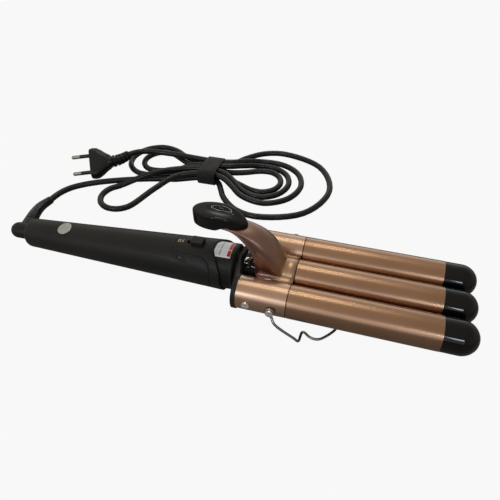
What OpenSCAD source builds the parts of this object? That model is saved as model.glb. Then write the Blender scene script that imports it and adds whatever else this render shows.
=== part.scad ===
// Three-barrel hair waver: two fixed outer barrels on a yoke, a middle barrel on a sprung lever.
// Millimetres. +X points to the barrel tips, +Z up; z = 0 is the table that the tool lies on.

/* [Barrels] */
// Outer diameter of each barrel
barrel_d = 25; // [19:0.5:32]
// Length of the bare heated tube, from sleeve to tip cap
barrel_len = 104.5; // [80:0.5:140]
// Distance between neighbouring barrel axes
barrel_pitch = 27; // [26.5:0.1:36]
// Wall of the aluminium barrel tube
barrel_wall = 1.5; // [1:0.1:2.5]
// Length of a tip cap, its round end included
tip_len = 24.5; // [18:0.5:34]
// Height of the barrel axes above the table
axis_h = 24; // [22:0.5:30]

/* [Sleeves and yoke] */
// Length of the metal sleeve behind each outer barrel
sleeve_len = 38; // [34:0.5:46]
// Thickness of the sleeve's sheet metal
sleeve_wall = 0.8; // [0.5:0.1:1.2]
// Dark gap between a sleeve and its barrel
seam_gap = 0.7; // [0.4:0.1:1.2]
// Thickness of the end disc behind each outer sleeve
end_disc_t = 3.3; // [2:0.1:5]
// How far the end disc stands out past the sleeve
end_disc_lip = 0.7; // [0.3:0.1:1.5]
// Radius of the neck that carries the hinge
neck_r = 8.5; // [7:0.1:9]

/* [Handle] */
// Length of the handle from its front rim to its rear shoulder
handle_len = 183; // [150:1:220]
// Radius of the handle at its front rim
handle_front_r = 20.2; // [18:0.1:23]
// Radius of the handle at its rear
handle_rear_r = 12.8; // [11:0.1:15]
// Wall of the handle shells
handle_wall = 2.2; // [1.6:0.1:3]
// How far the handle's parting line lies below its axis
parting_drop = 5.5; // [3:0.5:8]
// How far the ribbed collar's surface lies below the handle's front rim
rim_step = 1.7; // [1.2:0.1:3]
// How far the collar stands out of the handle's rim
collar_out = 10; // [8:0.5:16]
// Width of one groove in the collar
groove_w = 1.1; // [0.6:0.1:1.6]
// Depth of one groove in the collar
groove_depth = 0.7; // [0.3:0.1:1]

/* [Lever] */
// Thickness of the lever's sheet metal
lever_t = 0.8; // [0.6:0.1:1.2]
// Distance from the sleeve seam back to the hinge pin
hinge_back = 38; // [36:0.5:42]
// Height of the hinge pin above the barrel axes
hinge_up = 9; // [8:0.5:10]
// Radius of the hinge pin
pin_r = 1.5; // [1.2:0.1:2]
// Length of the thumb pad
pad_len = 42.5; // [34:0.5:48]
// Width of the thumb pad
pad_w = 19.4; // [17:0.2:23]

/* [Stand] */
// Diameter of the stand's wire
stand_wire_d = 2; // [1.6:0.1:2.4]
// How far in front of the hinge the stand's feet touch the table
stand_reach = 22.5; // [16:0.5:28]
// Length of the stand's flat foot loop
stand_loop = 30; // [24:1:40]

/* [Cord and plug] */
// Diameter of the mains cord
cord_d = 6; // [5:0.1:7]
// Distance between two pin centres of the plug
plug_pin_gap = 19; // [18:0.1:19.2]
// Diameter of a plug pin
plug_pin_d = 4; // [3.8:0.1:4.8]
// Length of a plug pin
plug_pin_len = 19; // [17:0.5:19.5]
// Width of the plug body
plug_w = 35.3; // [32:0.1:38]
// Thickness of the plug body
plug_t = 13.7; // [11:0.1:16]

/* [Hidden] */
$fn = 64;

fit = 0.05;
seat = 0.25;
run = 0.06;
eps = 0.01;
barrel_r = barrel_d / 2;
bore_r = barrel_r - barrel_wall;
sleeve_in = barrel_r - sleeve_wall;
tip_r = barrel_r - 0.15;

rim_x = -sleeve_len - 19;
collar_r = handle_front_r - rim_step;
taper = atan((handle_front_r - handle_rear_r) / handle_len);
collar_front = rim_x + collar_out;
shoulder_r = 5;
nose_r = 7.2;
nose_len = 20;
nose_front = handle_len + shoulder_r + 0.3;
tail_x = rim_x - (nose_front + nose_len) * cos(taper) - 0.25;
tip_x = barrel_len + tip_len;
seam_x = -(tip_x + tail_x) / 2;

gold = [0.80, 0.60, 0.48];
dark_gold = [0.62, 0.45, 0.38];
black = [0.07, 0.07, 0.075];
gloss = [0.03, 0.03, 0.03];
steel = [0.75, 0.76, 0.78];

// ---- places ------------------------------------------------------------------------------------

// Seam frame: x = 0 at the seam between sleeves and barrels, z = 0 on the barrel axes.
module at_seam() {
    translate([seam_x, 0, axis_h]) children();
}

// Handle frame: origin at the centre of the front rim, the axis running back along -X.
module at_handle() {
    translate([seam_x + rim_x, 0, handle_front_r * cos(taper)]) rotate([0, -taper, 0]) children();
}

// A round bar along X from x0 to x1.
module bar_x(r, x0, x1) {
    translate([x0, 0, 0]) rotate([0, 90, 0]) cylinder(r = r, h = x1 - x0);
}

// A round bar along Y from y0 to y1.
module bar_y(r, y0, y1) {
    translate([0, y0, 0]) rotate([-90, 0, 0]) cylinder(r = r, h = y1 - y0);
}

// A side profile, drawn in x and z, given a width in y.
module side_plate(y0, y1) {
    translate([0, y1, 0]) rotate([90, 0, 0]) linear_extrude(height = y1 - y0) children();
}

// ---- swept tubes -------------------------------------------------------------------------------

function unit(v) = v / norm(v);
function tangent(p, i) = unit(p[min(i + 1, len(p) - 1)] - p[max(i - 1, 0)]);
function square_to(n, t) = unit(n - (n * t) * t);
function normals(p, first) = [for (i = 0, n = square_to(first, tangent(p, 0)); i < len(p);
    i = i + 1, n = square_to(n, tangent(p, min(i, len(p) - 1)))) n];
function ring(c, n, b, r, sides) = [for (k = [0 : sides - 1])
    c + r * (cos(360 * k / sides) * n - sin(360 * k / sides) * b)];

// One closed tube along the points p, with one radius for each point in r.
module tube(p, r, sides, first) {
    n = normals(p, first);
    skin([for (i = [0 : len(p) - 1]) ring(p[i], n[i], cross(tangent(p, i), n[i]), r[i], sides)]);
}

// A closed skin over rings that have equally many points, capped at both ends.
// The rings of a folded sheet are capped by strips, from one side of the sheet to the other.
module skin(rings, sheet = false) {
    m = len(rings[0]);
    last = len(rings) - 1;
    sides = [for (i = [0 : last - 1], k = [0 : m - 1]) let (a = i * m + k, b = i * m + (k + 1) % m)
        each [[a, b, a + m], [b, b + m, a + m]]];
    strips = [for (k = [1 : m / 2 - 1]) let (c = m - k, d = (m + 1 - k) % m, e = last * m)
        each [[c, k + 1, k], [d, c, k], [e + k, e + k + 1, e + c], [e + k, e + c, e + d]]];
    caps = sheet ? strips : [[for (k = [m - 1 : -1 : 0]) k], [for (k = [0 : m - 1]) last * m + k]];
    polyhedron(points = [for (row = rings) each row], faces = concat(sides, caps), convexity = 8);
}

function even(r, p) = [for (q = p) r];

// ---- barrels -----------------------------------------------------------------------------------

module barrel(y) {
    color(gold) at_seam() translate([0, y, 0]) difference() {
        bar_x(barrel_r, 0, barrel_len);
        bar_x(bore_r, -1, barrel_len + 1);
    }
}

spigot = 8;

module tip(y) {
    color(gloss) at_seam() translate([0, y, 0]) {
        bar_x(tip_r, barrel_len, tip_x - tip_r);
        bar_x(bore_r - fit, barrel_len - spigot, barrel_len + eps);
        translate([tip_x - tip_r, 0, 0]) rotate([0, 90, 0]) rotate_extrude() intersection() {
            circle(r = tip_r);
            square([tip_r, tip_r]);
        }
    }
}

plug_reach = 12;
heater_front = barrel_len - spigot - 1;
heater_rear = plug_reach;
plate_t = 2.4;

// Two half-round aluminium clamps with a flat ceramic heating plate between them.
module heater(y) {
    r = bore_r - seat;
    color(steel) at_seam() translate([0, y, 0]) {
        for (s = [-1, 1]) intersection() {
            bar_x(r, heater_rear, heater_front);
            translate([heater_rear, -r, s > 0 ? plate_t / 2 : -r - plate_t / 2]) cube([heater_front, 2 * r, r]);
        }
        translate([heater_rear, -r * 0.7, -plate_t / 2]) cube([heater_front - heater_rear, r * 1.4, plate_t]);
    }
}

module near_barrel() { barrel(-barrel_pitch); }
module far_barrel() { barrel(barrel_pitch); }
module middle_barrel() { barrel(0); }
module near_tip() { tip(-barrel_pitch); }
module far_tip() { tip(barrel_pitch); }
module middle_tip() { tip(0); }
module near_heater() { heater(-barrel_pitch); }
module far_heater() { heater(barrel_pitch); }
module middle_heater() { heater(0); }

// ---- outer sleeves and yoke --------------------------------------------------------------------

screw_x = [-11, -29.6];
screw_up = 0.5;
screw_r = 1.4;
screw_head_r = 3.1;
screw_head_t = 1.9;
screw_len = 9;
eye_gap = 0.4;
head_y = barrel_r + stand_wire_d + 2 * eye_gap;
boss_r = 3;

module sleeve(side) {
    color(gold) at_seam() difference() {
        translate([0, side * barrel_pitch, 0]) difference() {
            bar_x(barrel_r, -sleeve_len, -seam_gap);
            bar_x(sleeve_in, -sleeve_len - 1, 1);
        }
        for (x = screw_x) translate([x, side * barrel_pitch, screw_up]) rotate([side * -90, 0, 0])
            cylinder(r = screw_r + 0.2, h = barrel_r + 1);
    }
}

module near_sleeve() { sleeve(-1); }
module far_sleeve() { sleeve(1); }

neck_z = -4.5;
neck_front = -27;
lug_w = 4.8;
lug_r = 3.4;
hub_r = 13;
collar_in = collar_r - 2.2;

// Handle axis in the seam frame, at a given x.
function axis_z(x) = handle_front_r * cos(taper) - axis_h + (x - rim_x) * tan(taper);

module yoke_arm(side) {
    hull() {
        translate([0, 0, axis_z(collar_front)]) bar_x(hub_r, collar_front + 0.1, collar_front + 1.1);
        translate([0, side * barrel_pitch, 0])
            bar_x(barrel_r + end_disc_lip - 0.4, -sleeve_len - end_disc_t, -sleeve_len - 0.8);
    }
}

module yoke_plug(side) {
    translate([0, side * barrel_pitch, 0]) {
        bar_x(barrel_r + end_disc_lip, -sleeve_len - end_disc_t, -sleeve_len);
        bar_x(sleeve_in - fit, -sleeve_len - eps, 0);
        bar_x(bore_r - fit, -eps, plug_reach);
    }
}

module yoke() {
    color(black) at_seam() difference() {
        union() {
            for (side = [-1, 1]) {
                yoke_arm(side);
                yoke_plug(side);
            }
            translate([0, 0, axis_z(rim_x)]) bar_x(collar_in - 0.6, rim_x + 1, collar_front - 0.5);
            translate([0, 0, axis_z(collar_front)]) bar_x(hub_r, collar_front - 1, collar_front + 0.5);
            translate([0, 0, neck_z]) bar_x(neck_r, collar_front - 2, neck_front);
            translate([-hinge_back, 0, hinge_up]) bar_y(lug_r, -lug_w / 2, lug_w / 2);
            translate([-hinge_back - lug_r, -lug_w / 2, 0]) cube([2 * lug_r, lug_w, hinge_up]);
        }
        translate([-hinge_back, 0, hinge_up]) bar_y(pin_r, -lug_w, lug_w);
        translate([0, 0, neck_z]) bar_x(neck_r - 4, neck_front - 12, neck_front + 1);
        for (side = [-1, 1], x = screw_x) translate([x, side * barrel_pitch, screw_up])
            rotate([side * -90, 0, 0]) cylinder(r = screw_r, h = barrel_r + 1);
        // room for the lever's flanks and the middle barrel's holder
        for (side = [-1, 1]) translate([-sleeve_len + 0.5, side * (barrel_pitch / 2) - 1.2, -barrel_r])
            cube([sleeve_len, 2.4, 2 * barrel_r]);
    }
}

// Pan-head screws: the front pair also carries the wire stand's eyes.
module sleeve_screws() {
    color(steel) at_seam() for (side = [-1, 1], i = [0, 1]) {
        under = i == 0 ? head_y : barrel_r;
        translate([screw_x[i], side * barrel_pitch, screw_up]) rotate([side * -90, 0, 0]) difference() {
            union() {
                translate([0, 0, barrel_r - screw_len]) cylinder(r = screw_r, h = under - barrel_r + screw_len + eps);
                translate([0, 0, under]) pan_head();
            }
            translate([-0.4, -screw_head_r, under + screw_head_t - 0.7]) cube([0.8, 2 * screw_head_r, 2]);
            translate([-screw_head_r, -0.4, under + screw_head_t - 0.7]) cube([2 * screw_head_r, 0.8, 2]);
        }
    }
}

module pan_head() {
    rotate_extrude() intersection() {
        translate([0, screw_head_t - 5.2]) circle(r = 5.2);
        square([screw_head_r, screw_head_t]);
    }
}

module hinge_pin() {
    color(steel) at_seam() translate([-hinge_back, 0, hinge_up]) bar_y(pin_r, -ear_out - 0.3, ear_out + 0.3);
}

// ---- lever -------------------------------------------------------------------------------------

lip_top = 5.5;
lip_w = 4.8;
roof_x0 = -9.5;
half_arc = 57;
// Roof point, lower edge point, half width, crown height, arc half angle and lip width, front to back.
stations = [
    [-seam_gap, barrel_r, -seam_gap, lip_top, barrel_r, barrel_r, half_arc, lip_w],
    [roof_x0, barrel_r, roof_x0, lip_top, barrel_r, barrel_r, half_arc, lip_w],
    [-11, 16.5, -15, lip_top, barrel_r - 0.2, 10, 78, 3.0],
    [-13.5, 21.5, -21, lip_top, barrel_r - 0.3, 9, 90, 2.7],
    [-17, 27.5, -29, 5.2, 12.1, 8.5, 90, 2.6],
    [-21.5, 32.5, -30, 14, 11.6, 7.5, 90, 1.0],
    [-27, 36.5, -32.5, 22, 10.8, 6, 90, 0.5],
    [-33.5, 39.2, -37.5, 30.5, 9.8, 4.2, 90, 0.4],
    [-41, 40.8, -44, 36.5, 8.8, 2.4, 90, 0.3],
    [-49, 41.6, -50, 39.4, 8, 1.2, 90, 0.3],
    [-60, 41.8, -60, 40.2, 7.2, 0.5, 90, 0.2],
    [-71, 41.8, -71, 40.3, 4.6, 0.4, 90, 0.2]];
station_steps = 3;
arc_steps = 6;

function blend4(a, b, c, d, t) = 0.5 * (2 * b + (c - a) * t + (2 * a - 5 * b + 4 * c - d) * t * t
    + (3 * b - a - 3 * c + d) * t * t * t);
function between(i, t) = let (n = len(stations) - 1)
    blend4(stations[max(i - 1, 1)], stations[i], stations[i + 1], stations[min(i + 2, n)], t);
lever_rows = concat([stations[0]], [for (i = [1 : len(stations) - 2], k = [0 : station_steps - 1])
    between(i, k / station_steps)], [stations[len(stations) - 1]]);

// Inward normal of the roof line at row i.
function roof_in(i) = let (a = lever_rows[max(i - 1, 0)], b = lever_rows[min(i + 1, len(lever_rows) - 1)])
    unit([a[1] - b[1], 0, b[0] - a[0]]);

// Cross-section of the stamping: an arched roof, two flanks and an outward lip on each.
function lever_section(q, into) = let (
        roof = [q[0], 0, q[1]], edge = [q[2], 0, q[3]], depth = norm(edge - roof), down = (edge - roof) / depth,
        w = q[4], a = q[6], c = min(q[5], (depth - lever_t - 0.15) / (1 - cos(a))),
        flank = w * sin(a), lip = flank + q[7], t = lever_t,
        foot = flank - 0.12 - (t - 0.12) * (a - half_arc) / (90 - half_arc),
        arc = [for (k = [-arc_steps : arc_steps]) a * k / arc_steps])
    [for (s = concat(
        [[-lip, depth, 0], [-lip, depth - t, 0], [-flank, depth - t, 0]],
        [for (b = arc) [w * sin(b), c * (1 - cos(b)), 0]],
        [[flank, depth - t, 0], [lip, depth - t, 0], [lip, depth, 0], [foot, depth, 0]],
        [for (b = arc) [(w - t) * sin(-b), c * (1 - cos(b)), t * cos(b)]],
        [[-foot, depth, 0]])) roof + s[1] * down + [0, s[0], 0] + s[2] * into];

module lever_plate() {
    color(dark_gold) at_seam() difference() {
        skin([for (i = [0 : len(lever_rows) - 1]) lever_section(lever_rows[i], roof_in(i))], true);
        translate([rivet_x, 0, 30]) cylinder(r = rivet_r + fit, h = 20);
    }
}

ear_in = 6.4;
ear_t = 1.2;
ear_out = ear_in + ear_t;
eye_r = 3.2;

// Inner bracket: two ears that turn on the hinge pin, joined by a strap under the lever's roof.
module hinge_bracket() {
    color(steel) at_seam() difference() {
        union() {
            for (s = [-1, 1]) translate([0, s > 0 ? ear_in : -ear_out, 0]) {
                translate([-hinge_back, 0, hinge_up]) bar_y(eye_r, 0, ear_t);
                side_plate(0, ear_t) polygon([[-hinge_back - 2.0, hinge_up + 2.5],
                    [-hinge_back + 1.5, hinge_up - 2.8], [-25, hinge_up + 6], [-20.4, 23], [-25, 28]]);
            }
            side_plate(-ear_out, ear_out) polygon([[-20.4, 23], [-19.3, 24], [-24, 29], [-25, 28]]);
            side_plate(-4.4, 4.4) polygon([[-19.8, 23.4], [-17.3, 25.2], [-21.9, 30.3], [-24.4, 28.4]]);
        }
        translate([-hinge_back, 0, hinge_up]) bar_y(pin_r + run, -ear_out - 1, ear_out + 1);
    }
}

holder_rear = -18;

// Lower half of the middle sleeve, closed against the lever's lips.
module middle_sleeve() {
    color(gold) at_seam() difference() {
        bar_x(barrel_r, holder_rear, -seam_gap);
        bar_x(sleeve_in, holder_rear - 1, 1);
        translate([holder_rear - 1, -barrel_r - 1, lip_top - 0.6]) cube([-holder_rear + 2, barrel_d + 2, barrel_d]);
        for (x = middle_screw_x) translate([x, 0, -barrel_r - 1]) cylinder(r = screw_r + 0.2, h = 4);
    }
}

middle_screw_x = [-5, -13];

module middle_holder() {
    color(black) at_seam() difference() {
        union() {
            bar_x(sleeve_in - fit, holder_rear, 0);
            bar_x(bore_r - fit, -eps, plug_reach);
        }
        translate([holder_rear - 1, -barrel_r, sleeve_in - 1.4]) cube([-holder_rear - 8, barrel_d, 4]);
        for (x = middle_screw_x) translate([x, 0, -barrel_r - 1]) cylinder(r = screw_r, h = screw_len + 1);
    }
}

module middle_screws() {
    color(steel) at_seam() for (x = middle_screw_x) translate([x, 0, -barrel_r]) mirror([0, 0, 1]) {
        translate([0, 0, -screw_len]) cylinder(r = screw_r, h = screw_len + eps);
        pan_head();
    }
}

// ---- torsion spring ----------------------------------------------------------------------------

coil_r = 2.9;
spring_wire_r = 0.5;
coil_turns = 2.5;
coil_pitch = 1.12;
coil_rings = 8;
coil_start = lug_w / 2 + spring_wire_r + 0.15;

// Half of the spring on the near side: a leg on the neck, the coil, and an arm under the lever's roof.
function coil_half() = concat(
    [[-hinge_back + 10, -coil_start - coil_turns * coil_pitch, hinge_up - coil_r - 3.2],
     [-hinge_back + 6.5, -coil_start - coil_turns * coil_pitch, hinge_up - coil_r - 1.2],
     [-hinge_back + 3, -coil_start - coil_turns * coil_pitch, hinge_up - coil_r - 0.2]],
    [for (k = [0 : coil_turns * coil_rings]) let (a = -90 - 360 * k / coil_rings)
        [-hinge_back + coil_r * cos(a), -coil_start - coil_pitch * (coil_turns - k / coil_rings),
         hinge_up + coil_r * sin(a)]],
    [[-hinge_back + 4, -coil_start, hinge_up + coil_r + 0.8],
     [-hinge_back + 9.2, -coil_start, hinge_up + coil_r + 6.2],
     [-hinge_back + 13.9, -coil_start, hinge_up + coil_r + 11.8],
     [-hinge_back + 14.8, -coil_start + 1.4, hinge_up + coil_r + 13.1]]);

module torsion_spring() {
    near = coil_half();
    far = [for (k = [len(near) - 1 : -1 : 0]) [near[k][0], -near[k][1], near[k][2]]];
    p = concat(near, far);
    color(steel) at_seam() tube(p, even(spring_wire_r, p), 6, [0, 1, 0.2]);
}

// ---- thumb pad ---------------------------------------------------------------------------------

pad_front = -38.2;
pad_mid = pad_front - pad_len / 2;
pad_top = 51.2;
pad_step = -57;
skirt_bottom = 39.2;
skirt_t = 1.6;
dish = [10, 5.3, 1.3];
rivet_x = -48;
rivet_r = 1.6;
rivet_head_r = 3.2;

function egg(a, s) = [pad_mid + s * pad_len / 2 * cos(a), s * pad_w / 2 * sin(a) * (1 - 0.13 * cos(a))];
function pad_height(p) = pad_top - 0.0125 * pow(max(0, p[0] + 62), 2)
    - dish[2] * max(0, 1 - pow((p[0] + 59) / dish[0], 2) - pow(p[1] / dish[1], 2));
function pad_base(p) = 42.05 - 0.012 * pow(max(0, p[0] + 48), 2);
function skirt_base(p) = p[0] < pad_step ? skirt_bottom : pad_base(p);
function egg_ring(s) = [for (k = [0 : 39]) egg(9 * k, s)];

module thumb_pad() {
    edge = [[1, 2.2], [0.985, 1.1], [0.95, 0.4], [0.88, 0.05], [0.7, 0], [0.5, 0], [0.3, 0], [0.15, 0]];
    mid = [pad_mid, 0];
    hollow = [for (e = [0.1, 0.45, 1 - skirt_t * 2 / pad_w]) [for (q = egg_ring(e)) [q[0], q[1], pad_base(q)]]];
    skirt = [for (e = [1.01 - skirt_t * 2 / pad_w, 1]) [for (q = egg_ring(e)) [q[0], q[1], skirt_base(q)]]];
    top = [for (q = egg_ring(0.05)) [q[0], q[1], pad_height(mid)]];
    color(gloss) at_seam() difference() {
        skin(concat(hollow, skirt, [for (e = edge) [for (q = egg_ring(e[0])) [q[0], q[1], pad_height(q) - e[1]]]],
            [top]));
        translate([rivet_x, 0, 30]) cylinder(r = rivet_r, h = 15.5);
    }
}

module pad_rivet() {
    color(steel) at_seam() translate([rivet_x, 0, 0]) {
        translate([0, 0, 39.2]) cylinder(r = rivet_r, h = 6);
        translate([0, 0, 39.2]) cylinder(r = rivet_head_r, h = 1.2);
    }
}

// ---- handle ------------------------------------------------------------------------------------

function handle_r(s) = handle_front_r - s * tan(taper);

// Half section of the handle, r against distance behind the rim, less a skin of thickness t.
module handle_half(t) {
    rear = handle_r(handle_len) - t;
    round_r = shoulder_r - t / 2;
    polygon(concat([[0, t > 0 ? -1 : 0], [handle_front_r - t, t > 0 ? -1 : 0], [rear, handle_len]],
        [for (a = [15 : 15 : 90]) [rear - round_r + round_r * cos(a), handle_len + round_r * sin(a)]],
        [[0, handle_len + round_r]]));
}

module handle_solid(t) {
    rotate([0, -90, 0]) rotate_extrude($fn = 96) handle_half(t);
}

module handle_skin() {
    difference() {
        handle_solid(0);
        handle_solid(handle_wall);
        bar_x(collar_r + label_t + 0.1, -collar_step, 2);
    }
}

panel_rear = -41.5;
panel_low = handle_front_r - 4.2;
panel_gap = 0.3;
band_rear = -8.5;
corner_r = 8;
rim_curve_r = 17;
rim_curve_z = 4.3;

// Side view of the front trim: a band behind the rim that runs up into the switch panel.
module trim_side(grow) {
    difference() {
        union() {
            translate([band_rear - grow, -40]) square([60, 80]);
            translate([panel_rear - grow, panel_low - grow]) square([60, 40]);
            translate([band_rear - corner_r - grow, panel_low - corner_r - grow]) square([corner_r + 1, corner_r + 1]);
        }
        translate([band_rear - corner_r - grow, panel_low - corner_r - grow]) circle(r = corner_r);
    }
}

// Side view of what lies behind the rim's rounded front.
module rim_side() {
    translate([-rim_curve_r, rim_curve_z]) circle(r = rim_curve_r, $fn = 96);
    translate([-300, -60]) square([300, 60 + rim_curve_z]);
    translate([-300 - rim_curve_r, -60]) square([300, 120]);
}

screw_s = [58, handle_len - 25];
board_s = handle_len - 45;
board_len = board_s - screw_s[0] - 14;
pillar_r = 3.4;
nose_hole = 5.8;
lens_s = 34;
lens_angle = 44;
lens_r = 2.3;

module handle_shell_solid() {
    difference() {
        union() {
            handle_skin();
            intersection() {
                handle_solid(handle_wall - 0.2);
                for (s = screw_s) translate([-s, 0, -40]) cylinder(r = pillar_r, h = 80);
            }
            intersection() {
                handle_solid(handle_wall - 0.2);
                for (y = [-1, 1]) translate([-board_s - 2, y * board_w / 2 - 1.5, -40]) cube([board_len + 4, 3, 40 + board_z]);
            }
        }
        side_plate(-60, 60) trim_side(panel_gap);
        bar_x(nose_hole, -handle_len - shoulder_r - 2, -handle_len);
        for (s = screw_s) translate([-s, 0, -40]) {
            cylinder(r = 1.25, h = 46);
            cylinder(r = screw_head_r, h = 40 - handle_r(s) * cos(taper) + handle_wall + 0.6);
        }
        rotate([lens_angle, 0, 0]) translate([-lens_s, 0, 0]) cylinder(r = lens_r, h = 40);
        rotate([badge_angle, 0, 0]) translate([-badge_s, 0, handle_r(badge_s) * cos(taper) - badge_sink])
            rotate([0, -taper, 0]) cylinder(r = badge_r, h = 10);
    }
}

module handle_upper_shell() {
    color(black) at_handle() intersection() {
        handle_shell_solid();
        translate([-300, -60, -parting_drop]) cube([400, 120, 90]);
    }
}

module handle_lower_shell() {
    color(black) at_handle() intersection() {
        handle_shell_solid();
        translate([-300, -60, -parting_drop - 90.08]) cube([400, 120, 90]);
    }
}

module handle_screws() {
    color(steel) at_handle() for (s = screw_s) translate([-s, 0, -handle_r(s) * cos(taper) + handle_wall + 0.6]) {
        cylinder(r = 1.25, h = 14);
        mirror([0, 0, 1]) cylinder(r = screw_head_r - 0.3, h = 1.8);
    }
}

knob_l = 10;
knob_w = 8;
knob_h = 3.4;
knob_s = 22.5;
knob_travel = 5;
stem_w = 3;

module front_trim() {
    color(black) at_handle() difference() {
        intersection() {
            handle_skin();
            side_plate(-60, 60) trim_side(0);
            side_plate(-60, 60) rim_side();
        }
        translate([-knob_s - knob_l / 2 - knob_travel + 1, -stem_w / 2 - 0.4, 10])
            cube([knob_l + knob_travel - 2, stem_w + 0.8, 20]);
        for (s = [-1, 1]) translate([band_rear - 1, s * handle_front_r, -3]) rotate([s * 12, 0, 0])
            translate([0, -2, -4]) cube([1.6, 4, 7]);
    }
}

module switch_knob() {
    top = handle_r(knob_s);
    color(black) at_handle() translate([-knob_s, 0, 0]) {
        difference() {
            translate([-knob_l / 2, -knob_w / 2, 0]) cube([knob_l, knob_w, top + knob_h]);
            rotate([0, -90, 0]) translate([0, 0, -50]) cylinder(r = top + 0.35, h = 100, $fn = 96);
            for (k = [-1, 0, 1]) translate([k * 2.4 - 0.4, -knob_w, top + knob_h - 0.5]) cube([0.8, 2 * knob_w, 1]);
        }
        translate([-knob_l / 2 + 2, -stem_w / 2, top - 4]) cube([knob_l - 4, stem_w, 4.6]);
    }
}

switch_w = 8;

module switch_body() {
    top = handle_r(knob_s) - 4.4;
    color([0.15, 0.15, 0.16]) at_handle() difference() {
        translate([-knob_s - 12, -switch_w / 2, top - 8]) cube([17, switch_w, 9]);
        translate([-knob_s - 10, -stem_w / 2 - 0.3, top]) cube([14, stem_w + 0.6, 5]);
    }
}

board_w = 18;
board_z = -parting_drop - 1;
board_t = 1.6;

// Board with the mains parts, lying on two rails of the lower shell.
module circuit_board() {
    color([0.1, 0.35, 0.2]) at_handle() translate([-board_s, 0, board_z]) {
        translate([0, -board_w / 2, 0]) cube([board_len, board_w, board_t]);
        translate([0.12 * board_len, -6, board_t]) cube([12, 12, 7]);
        translate([0.43 * board_len, 0, board_t]) cylinder(r = 4, h = 8);
        translate([0.61 * board_len, -7, board_t]) cube([16, 6, 5]);
        translate([0.67 * board_len, 3, board_t]) cube([10, 5, 4]);
    }
}

module indicator_lens() {
    color([0.3, 0.05, 0.04]) at_handle() rotate([lens_angle, 0, 0])
        translate([-lens_s, 0, handle_r(lens_s) - handle_wall - 0.4]) cylinder(r = lens_r - fit, h = handle_wall + 0.2);
}

badge_s = handle_len - 37;
badge_angle = 11;
badge_r = 6.2;
badge_sink = 0.9;

module badge_disc() {
    color(steel) at_handle() rotate([badge_angle, 0, 0])
        translate([-badge_s, 0, handle_r(badge_s) * cos(taper) - badge_sink]) rotate([0, -taper, 0])
            cylinder(r = badge_r - fit, h = badge_sink + 0.15);
}

collar_step = 14;
tail_r = handle_r(collar_step + 3) - handle_wall - 0.2;
groove_step = 6;
label_from = 58;
label_to = 122;

module ribbed_collar() {
    color(black) at_handle() difference() {
        rotate([0, 90, 0]) rotate_extrude($fn = 96) polygon([[collar_in, -collar_step - 3],
            [tail_r, -collar_step - 3], [tail_r, -collar_step + 0.3], [collar_r, -collar_step + 0.3],
            [collar_r, collar_out - 1.2], [collar_r - 1.2, collar_out], [collar_in, collar_out]]);
        for (a = [0 : groove_step : 359]) if (a < label_from || a > label_to) rotate([a, 0, 0])
            translate([-9, collar_r - groove_depth, -groove_w / 2]) cube([collar_out + 6.5, 2, groove_w]);
    }
}

label_t = 0.3;

// Plain pale label with a red band, nothing printed on it.
module blank_label() {
    color([0.85, 0.85, 0.85]) at_handle() intersection() {
        difference() {
            bar_x(collar_r + label_t, -7.5, collar_out - 3.5);
            bar_x(collar_r, -9, collar_out);
        }
        side_wedge();
    }
}

module side_wedge() {
    reach = 40;
    rotate([90, 0, 90]) translate([0, 0, -20]) linear_extrude(height = 60)
        polygon([[0, 0], reach * [cos(62), sin(62)], reach * [0, 1.3], reach * [cos(118), sin(118)]]);
}

// ---- wire stand --------------------------------------------------------------------------------

stand_y = barrel_pitch + barrel_r + eye_gap + stand_wire_d / 2;
stand_eye_r = screw_r + 0.25 + stand_wire_d / 2;
foot_z = stand_wire_d / 2 - axis_h;
foot_x = screw_x[0] + stand_reach;

leg_angle = atan((screw_up - foot_z) / stand_reach);
eye_rings = 8;
eye_sweep = 268;
leg_out = 3;

// Near half of the stand, from its open eye to the middle of the foot loop.
function stand_half() = let (f = foot_x, y = stand_y, z = foot_z, l = stand_loop) concat(
    [for (k = [0 : eye_rings]) let (a = 270 - leg_angle - eye_sweep * (1 - k / eye_rings))
        [screw_x[0] + stand_eye_r * cos(a), -y, screw_up + stand_eye_r * sin(a)]], [
    [screw_x[0] + 1.2, -y - 0.5, screw_up - 4.8], [screw_x[0] + 4.2, -y - leg_out, screw_up - 8.8],
    [f - 3, -y - leg_out, z + 3.1], [f - 1.5, -y - leg_out + 0.1, z + 1.5], [f - 0.4, -y - leg_out + 0.8, z + 0.4],
    [f, -y - leg_out + 2.2, z], [f + 0.2, -y + 3.2, z], [f + 0.6, -y + 6.3, z], [f + 1.9, -y + 6.9, z], [f + 3.4, -y + 6.2, z],
    [f + 0.2 * l, -y + 4.3, z], [f + 0.32 * l, -y + 3.1, z], [f + 0.46 * l, -y + 3.8, z],
    [f + 0.62 * l, -y + 8.2, z], [f + 0.78 * l, -y + 15, z], [f + 0.9 * l, -y + 24, z],
    [f + 0.975 * l, -y + 33, z], [f + l, 0, z]]);

module wire_stand() {
    near = stand_half();
    far = [for (k = [len(near) - 2 : -1 : 0]) [near[k][0], -near[k][1], near[k][2]]];
    p = concat(near, far);
    color(steel) at_seam() tube(p, even(stand_wire_d / 2, p), 10, [0, 1, 0]);
}

// ---- cord, swivel and plug ---------------------------------------------------------------------

module swivel_body() {
    color(black) at_handle() {
        bar_x(nose_hole - 0.3, -handle_len - shoulder_r - 1, -handle_len + 4);
        bar_x(nose_hole + 1.6, -handle_len + 2.2, -handle_len + 5);
        bar_x(nose_r, -nose_front - nose_len + nose_r, -nose_front);
        translate([-nose_front - nose_len + nose_r, 0, 0]) sphere(r = nose_r);
    }
}

// Cord frame: the seam frame, moved along with the handle's tail.
cord_shift = tail_x + 265.38;

module at_cord() {
    translate([seam_x + cord_shift, 0, axis_h]) children();
}

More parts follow.
